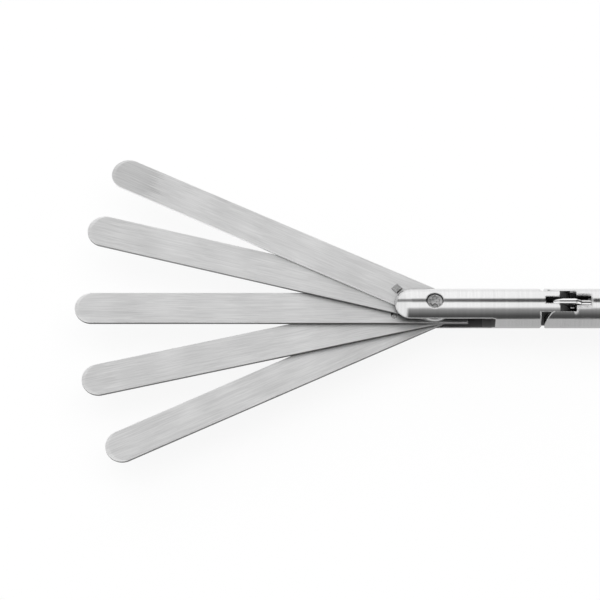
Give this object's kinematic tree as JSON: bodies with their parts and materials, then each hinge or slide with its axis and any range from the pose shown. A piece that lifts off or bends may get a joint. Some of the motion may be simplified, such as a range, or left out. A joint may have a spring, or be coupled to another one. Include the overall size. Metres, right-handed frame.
{
  "type": "fan retractor",
  "caption": "Long-shafted fan retractor: flat blades spread from a slotted head that bends on a hinge, driven by a knob and a wheel on an in-line handle.",
  "frame": {"origin": "on the shaft's axis at the seam between the fork piece and the outer tube", "axes": "+X along the shaft towards the handle, the blades at -X; +Z normal to the fan, on the side that the head bends to; +Y across the fan"},
  "size_m": [0.4857, 0.0836, 0.0325],
  "materials": {
    "blade_steel": "satin, grained along the blade",
    "head_steel": "fine turned satin",
    "tube_steel": "fine turned satin",
    "link_steel": "polished",
    "pin_steel": "ground",
    "cable_steel": "stranded",
    "rod_steel": "ground",
    "washer_bronze": "lapped bronze",
    "guide_plastic": "white bearing plastic",
    "handle_steel": "satin",
    "nut_brass": "machined",
    "seal_rubber": "moulded"
  },
  "bodies": {
    "shaft": {"shaft_fork": "head_steel", "hinge_pins": "pin_steel", "outer_tube": "tube_steel", "tube_guides": "guide_plastic", "nose_cone": "handle_steel", "flush_port": "handle_steel", "tube_seal": "seal_rubber", "grub_screws": "pin_steel", "handle_core": "handle_steel", "wheel_washers": "guide_plastic", "grip_sleeve": "handle_steel", "knob_washer": "guide_plastic", "knob_retaining_ring": "handle_steel", "spindle_key_pin": "pin_steel", "drive_cable": "cable_steel"},
    "wheel": {"bend_wheel": "handle_steel"},
    "bend_slider": {"bend_tube": "tube_steel", "bend_carriage": "rod_steel", "link_rear_pin": "pin_steel", "head_link": "link_steel", "rod_guides": "guide_plastic"},
    "head": {"head": "head_steel", "pivot_screw": "pin_steel", "thrust_washers": "washer_bronze", "blade_3": "blade_steel", "link_front_pin": "pin_steel"},
    "knob": {"spread_knob": "handle_steel", "knob_nut": "nut_brass", "end_cap": "handle_steel"},
    "rod": {"drive_rod": "rod_steel", "spindle": "rod_steel"},
    "yoke": {"drive_yoke": "link_steel", "yoke_pin": "pin_steel", "front_spread_link": "link_steel", "back_spread_link": "link_steel"},
    "top_blade": {"blade_1": "blade_steel", "blade_1_drag_pin": "pin_steel", "blade_1_drive_pin": "pin_steel"},
    "upper_blade": {"blade_2": "blade_steel", "blade_2_drag_pin": "pin_steel"},
    "lower_blade": {"blade_4": "blade_steel", "blade_4_drag_pin": "pin_steel"},
    "bottom_blade": {"blade_5": "blade_steel", "blade_5_drag_pin": "pin_steel", "blade_5_drive_pin": "pin_steel"}
  },
  "joints": [
    {"name": "wheel_turn", "type": "hinge", "parent": "shaft", "child": "wheel", "pos_m": [0.2556, 0, 0], "axis": [1, 0, 0], "range_deg": [0, 437.65]},
    {"name": "bend_slide", "type": "slide", "parent": "shaft", "child": "bend_slider", "axis": [1, 0, 0], "range_m": [0, 0.00245]},
    {"name": "head_bend", "type": "hinge", "parent": "shaft", "child": "head", "pos_m": [-0.012, 0, 0], "axis": [0, 1, 0], "range_deg": [0, 45.1], "deforming": ["drive_cable"]},
    {"name": "knob_turn", "type": "hinge", "parent": "shaft", "child": "knob", "pos_m": [0.3368, 0, 0], "axis": [1, 0, 0], "range_deg": [0, 464.37]},
    {"name": "rod_slide", "type": "slide", "parent": "shaft", "child": "rod", "axis": [1, 0, 0], "range_m": [0, 0.00131]},
    {"name": "yoke_slide", "type": "slide", "parent": "head", "child": "yoke", "axis": [1, 0, 0], "range_m": [0, 0.00131]},
    {"name": "top_blade_fold", "type": "hinge", "parent": "head", "child": "top_blade", "pos_m": [-0.0446, 0, 0], "axis": [0, 0, 1], "range_deg": [0, 25.8]},
    {"name": "upper_blade_fold", "type": "hinge", "parent": "head", "child": "upper_blade", "pos_m": [-0.0446, 0, 0], "axis": [0, 0, 1], "range_deg": [0, 14.5]},
    {"name": "lower_blade_fold", "type": "hinge", "parent": "head", "child": "lower_blade", "pos_m": [-0.0446, 0, 0], "axis": [0, 0, 1], "range_deg": [-13.2, 0]},
    {"name": "bottom_blade_fold", "type": "hinge", "parent": "head", "child": "bottom_blade", "pos_m": [-0.0446, 0, 0], "axis": [0, 0, 1], "range_deg": [-25.8, 0]}
  ],
  "couplings": [
    {"joint": "bend_slide", "follows": "wheel_turn", "m_per_rad": 0.00031831},
    {"joint": "head_bend", "follows": "wheel_turn", "ratio": 0.10282},
    {"joint": "rod_slide", "follows": "knob_turn", "m_per_rad": 0.00015915},
    {"joint": "yoke_slide", "follows": "knob_turn", "m_per_rad": 0.00015915},
    {"joint": "top_blade_fold", "follows": "knob_turn", "ratio": 0.055344},
    {"joint": "upper_blade_fold", "follows": "knob_turn", "ratio": 0.03101},
    {"joint": "lower_blade_fold", "follows": "knob_turn", "ratio": -0.02821},
    {"joint": "bottom_blade_fold", "follows": "knob_turn", "ratio": -0.055344}
  ]
}
